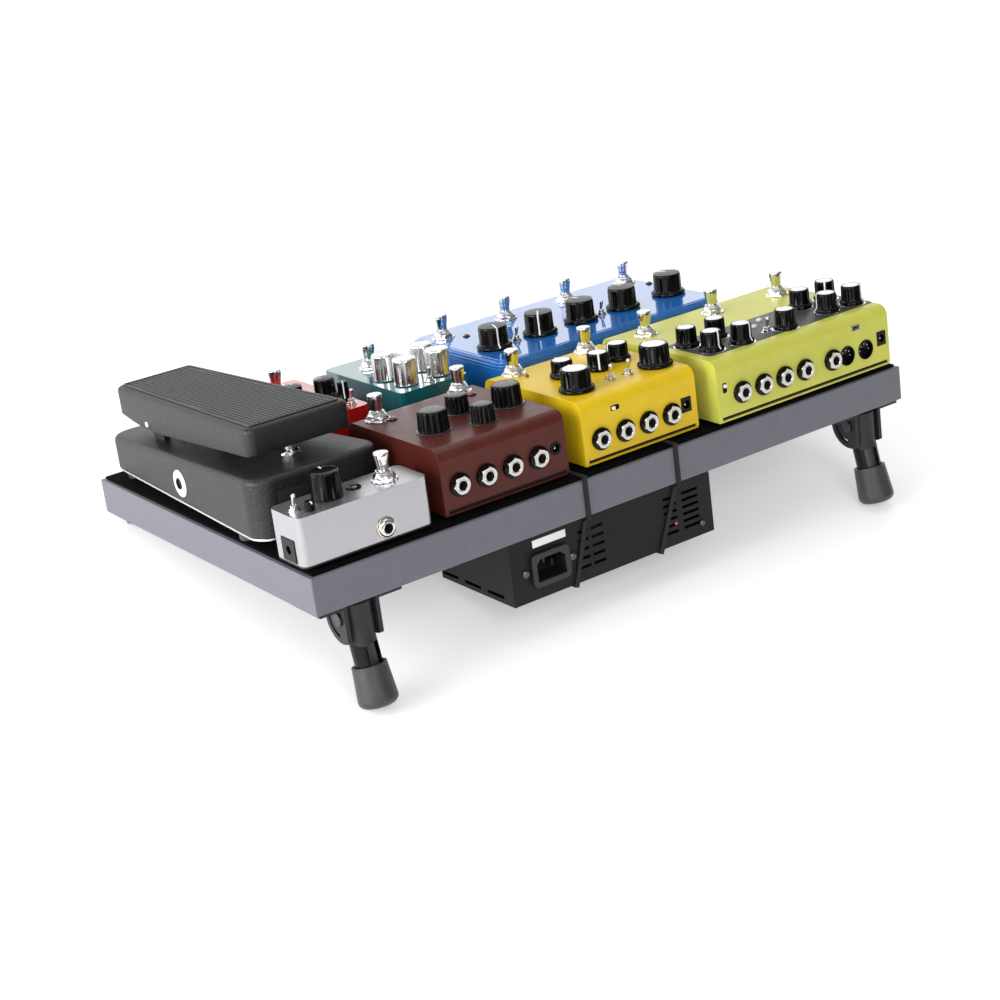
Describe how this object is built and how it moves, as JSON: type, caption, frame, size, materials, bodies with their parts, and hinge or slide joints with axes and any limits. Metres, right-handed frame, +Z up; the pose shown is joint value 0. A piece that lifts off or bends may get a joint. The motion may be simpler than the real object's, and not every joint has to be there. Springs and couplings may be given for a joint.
{
  "type": "pedalboard",
  "caption": "Sloping folded-aluminium pedalboard on fold-out legs, loaded with a rocking wah and other effect pedals, with a power supply strapped underneath.",
  "frame": {"origin": "middle of the bounding box, on the floor", "axes": "+X along the long rails to the right as seen from the raised near side, +Y from the raised rail towards the player's low side, +Z up"},
  "size_m": [0.52, 0.3438, 0.1622],
  "materials": {
    "deck_grey": "slate grey satin powder coat on folded sheet",
    "loop_carpet": "black loop pile",
    "hook_tape": "black hook tape",
    "black_rubber": "matt moulded",
    "leg_black": "black satin paint",
    "fastener_steel": "zinc plated",
    "supply_black": "fine textured black",
    "inlet_black": "moulded black",
    "winding_copper": "varnished windings on a board",
    "elastic_black": "woven elastic",
    "casting_black": "black crinkle paint on a casting",
    "plate_steel": "plain rolled sheet",
    "component_grey": "potentiometer can",
    "silver_cast": "satin silver",
    "red_cast": "gloss red",
    "brown_steel": "gloss maroon brown",
    "teal_cast": "gloss teal",
    "yellow_steel": "semi-gloss yellow",
    "blue_cast": "gloss blue",
    "green_steel": "semi-gloss lime green",
    "base_black": "satin black",
    "jack_metal": "nickel-plated nuts and bushes",
    "fitting_black": "moulded black",
    "bush_chrome": "chrome",
    "knob_black": "fluted black",
    "control_chrome": "polished",
    "tread_rubber": "ribbed",
    "gear_nylon": "natural nylon"
  },
  "bodies": {
    "board": {"deck_tray": "deck_grey", "deck_carpet": "loop_carpet", "hook_strips": "hook_tape", "rubber_feet": "black_rubber", "leg_brackets": "leg_black", "screws_and_bolts": "fastener_steel", "psu_case": "supply_black", "psu_cover": "supply_black", "psu_inlet": "inlet_black", "psu_transformer": "winding_copper", "psu_straps": "elastic_black", "wah_base": "casting_black", "wah_base_plate": "plate_steel", "wah_axle": "fastener_steel", "wah_pot": "component_grey", "silver_case": "silver_cast", "red_case": "red_cast", "brown_case": "brown_steel", "teal_case": "teal_cast", "yellow_case": "yellow_steel", "blue_case": "blue_cast", "green_case": "green_steel", "pedal_base_plates": "base_black", "jack_sockets": "jack_metal", "panel_fittings": "fitting_black", "switch_bushings": "bush_chrome", "fixed_knobs": "knob_black", "chrome_controls": "control_chrome"},
    "treadle": {"wah_treadle": "casting_black", "wah_tread_mat": "tread_rubber", "wah_rack": "gear_nylon"},
    "pinion": {"wah_pinion": "gear_nylon"},
    "toe_button": {"wah_toe_button": "control_chrome"},
    "leg_left": {"leg_left": "leg_black"},
    "leg_right": {"leg_right": "leg_black"},
    "foot_left": {"leg_foot_left": "black_rubber"},
    "foot_right": {"leg_foot_right": "black_rubber"},
    "silver_switch": {"silver_switch": "control_chrome"},
    "red_switch": {"red_switch": "control_chrome"},
    "brown_switch_1": {"brown_switch_1": "control_chrome"},
    "brown_switch_2": {"brown_switch_2": "control_chrome"},
    "teal_switch": {"teal_switch": "control_chrome"},
    "yellow_switch_1": {"yellow_switch_1": "control_chrome"},
    "yellow_switch_2": {"yellow_switch_2": "control_chrome"},
    "green_switch_1": {"green_switch_1": "control_chrome"},
    "green_switch_2": {"green_switch_2": "control_chrome"},
    "green_switch_3": {"green_switch_3": "control_chrome"},
    "blue_switch_1": {"blue_switch_1": "control_chrome"},
    "blue_switch_2": {"blue_switch_2": "control_chrome"},
    "blue_switch_3": {"blue_switch_3": "control_chrome"},
    "blue_switch_4": {"blue_switch_4": "control_chrome"},
    "brown_knob_1": {"brown_knob_1": "knob_black"},
    "brown_knob_2": {"brown_knob_2": "knob_black"},
    "brown_knob_3": {"brown_knob_3": "knob_black"},
    "brown_knob_4": {"brown_knob_4": "knob_black"},
    "yellow_knob_1": {"yellow_knob_1": "knob_black"},
    "yellow_knob_2": {"yellow_knob_2": "knob_black"},
    "yellow_knob_3": {"yellow_knob_3": "knob_black"},
    "yellow_knob_4": {"yellow_knob_4": "knob_black"},
    "yellow_knob_5": {"yellow_knob_5": "knob_black"}
  },
  "joints": [
    {"name": "wah_rock", "type": "hinge", "parent": "board", "child": "treadle", "pos_m": [-0.2105, 0.11323, 0.0979], "axis": [1, 0, 0], "range_deg": [-16, 3]},
    {"name": "pinion_spin", "type": "hinge", "parent": "board", "child": "pinion", "pos_m": [-0.2105, 0.0588, 0.08474], "axis": [1, 0, 0], "range_deg": [-18.5, 96.5]},
    {"name": "toe_press", "type": "slide", "parent": "board", "child": "toe_button", "axis": [0, -0.2147, -0.9767], "range_m": [0, 0.0025], "stiffness_N_per_m": 2500},
    {"name": "leg_fold_left", "type": "hinge", "parent": "board", "child": "leg_left", "pos_m": [-0.226, -0.13637, 0.06166], "axis": [1, 0, 0], "range_deg": [0, 102.8]},
    {"name": "foot_extend_left", "type": "slide", "parent": "leg_left", "child": "foot_left", "axis": [0, -0.4258, -0.9048], "range_m": [0, 0.02]},
    {"name": "leg_fold_right", "type": "hinge", "parent": "board", "child": "leg_right", "pos_m": [0.226, -0.13637, 0.06166], "axis": [1, 0, 0], "range_deg": [0, 102.8]},
    {"name": "foot_extend_right", "type": "slide", "parent": "leg_right", "child": "foot_right", "axis": [0, -0.4258, -0.9048], "range_m": [0, 0.02]},
    {"name": "silver_switch_press", "type": "slide", "parent": "board", "child": "silver_switch", "axis": [0, -0.2147, -0.9767], "range_m": [0, 0.0025], "stiffness_N_per_m": 2500},
    {"name": "red_switch_press", "type": "slide", "parent": "board", "child": "red_switch", "axis": [0, -0.2147, -0.9767], "range_m": [0, 0.0025], "stiffness_N_per_m": 2500},
    {"name": "brown_switch_1_press", "type": "slide", "parent": "board", "child": "brown_switch_1", "axis": [0, -0.2147, -0.9767], "range_m": [0, 0.0025], "stiffness_N_per_m": 2500},
    {"name": "brown_switch_2_press", "type": "slide", "parent": "board", "child": "brown_switch_2", "axis": [0, -0.2147, -0.9767], "range_m": [0, 0.0025], "stiffness_N_per_m": 2500},
    {"name": "teal_switch_press", "type": "slide", "parent": "board", "child": "teal_switch", "axis": [0, -0.2147, -0.9767], "range_m": [0, 0.0025], "stiffness_N_per_m": 2500},
    {"name": "yellow_switch_1_press", "type": "slide", "parent": "board", "child": "yellow_switch_1", "axis": [0, -0.2147, -0.9767], "range_m": [0, 0.0025], "stiffness_N_per_m": 2500},
    {"name": "yellow_switch_2_press", "type": "slide", "parent": "board", "child": "yellow_switch_2", "axis": [0, -0.2147, -0.9767], "range_m": [0, 0.0025], "stiffness_N_per_m": 2500},
    {"name": "green_switch_1_press", "type": "slide", "parent": "board", "child": "green_switch_1", "axis": [0, -0.2147, -0.9767], "range_m": [0, 0.0025], "stiffness_N_per_m": 2500},
    {"name": "green_switch_2_press", "type": "slide", "parent": "board", "child": "green_switch_2", "axis": [0, -0.2147, -0.9767], "range_m": [0, 0.0025], "stiffness_N_per_m": 2500},
    {"name": "green_switch_3_press", "type": "slide", "parent": "board", "child": "green_switch_3", "axis": [0, -0.2147, -0.9767], "range_m": [0, 0.0025], "stiffness_N_per_m": 2500},
    {"name": "blue_switch_1_press", "type": "slide", "parent": "board", "child": "blue_switch_1", "axis": [0, -0.2147, -0.9767], "range_m": [0, 0.0025], "stiffness_N_per_m": 2500},
    {"name": "blue_switch_2_press", "type": "slide", "parent": "board", "child": "blue_switch_2", "axis": [0, -0.2147, -0.9767], "range_m": [0, 0.0025], "stiffness_N_per_m": 2500},
    {"name": "blue_switch_3_press", "type": "slide", "parent": "board", "child": "blue_switch_3", "axis": [0, -0.2147, -0.9767], "range_m": [0, 0.0025], "stiffness_N_per_m": 2500},
    {"name": "blue_switch_4_press", "type": "slide", "parent": "board", "child": "blue_switch_4", "axis": [0, -0.2147, -0.9767], "range_m": [0, 0.0025], "stiffness_N_per_m": 2500},
    {"name": "brown_knob_1_turn", "type": "hinge", "parent": "board", "child": "brown_knob_1", "pos_m": [-0.1252, -0.07892, 0.1381], "axis": [0, 0.2147, 0.9767], "range_deg": [-150, 150]},
    {"name": "brown_knob_2_turn", "type": "hinge", "parent": "board", "child": "brown_knob_2", "pos_m": [-0.0922, -0.05938, 0.13381], "axis": [0, 0.2147, 0.9767], "range_deg": [-150, 150]},
    {"name": "brown_knob_3_turn", "type": "hinge", "parent": "board", "child": "brown_knob_3", "pos_m": [-0.0942, -0.09259, 0.14111], "axis": [0, 0.2147, 0.9767], "range_deg": [-150, 150]},
    {"name": "brown_knob_4_turn", "type": "hinge", "parent": "board", "child": "brown_knob_4", "pos_m": [-0.0617, -0.07501, 0.13724], "axis": [0, 0.2147, 0.9767], "range_deg": [-150, 150]},
    {"name": "yellow_knob_1_turn", "type": "hinge", "parent": "board", "child": "yellow_knob_1", "pos_m": [0.0005, -0.05724, 0.13334], "axis": [0, 0.2147, 0.9767], "range_deg": [-150, 150]},
    {"name": "yellow_knob_2_turn", "type": "hinge", "parent": "board", "child": "yellow_knob_2", "pos_m": [-0.0145, -0.0924, 0.14107], "axis": [0, 0.2147, 0.9767], "range_deg": [-150, 150]},
    {"name": "yellow_knob_3_turn", "type": "hinge", "parent": "board", "child": "yellow_knob_3", "pos_m": [0.0265, -0.06554, 0.13516], "axis": [0, 0.2147, 0.9767], "range_deg": [-150, 150]},
    {"name": "yellow_knob_4_turn", "type": "hinge", "parent": "board", "child": "yellow_knob_4", "pos_m": [0.05, -0.05821, 0.13355], "axis": [0, 0.2147, 0.9767], "range_deg": [-150, 150]},
    {"name": "yellow_knob_5_turn", "type": "hinge", "parent": "board", "child": "yellow_knob_5", "pos_m": [0.0545, -0.09435, 0.1415], "axis": [0, 0.2147, 0.9767], "range_deg": [-150, 150]}
  ],
  "couplings": [
    {"joint": "pinion_spin", "follows": "wah_rock", "ratio": -6}
  ]
}
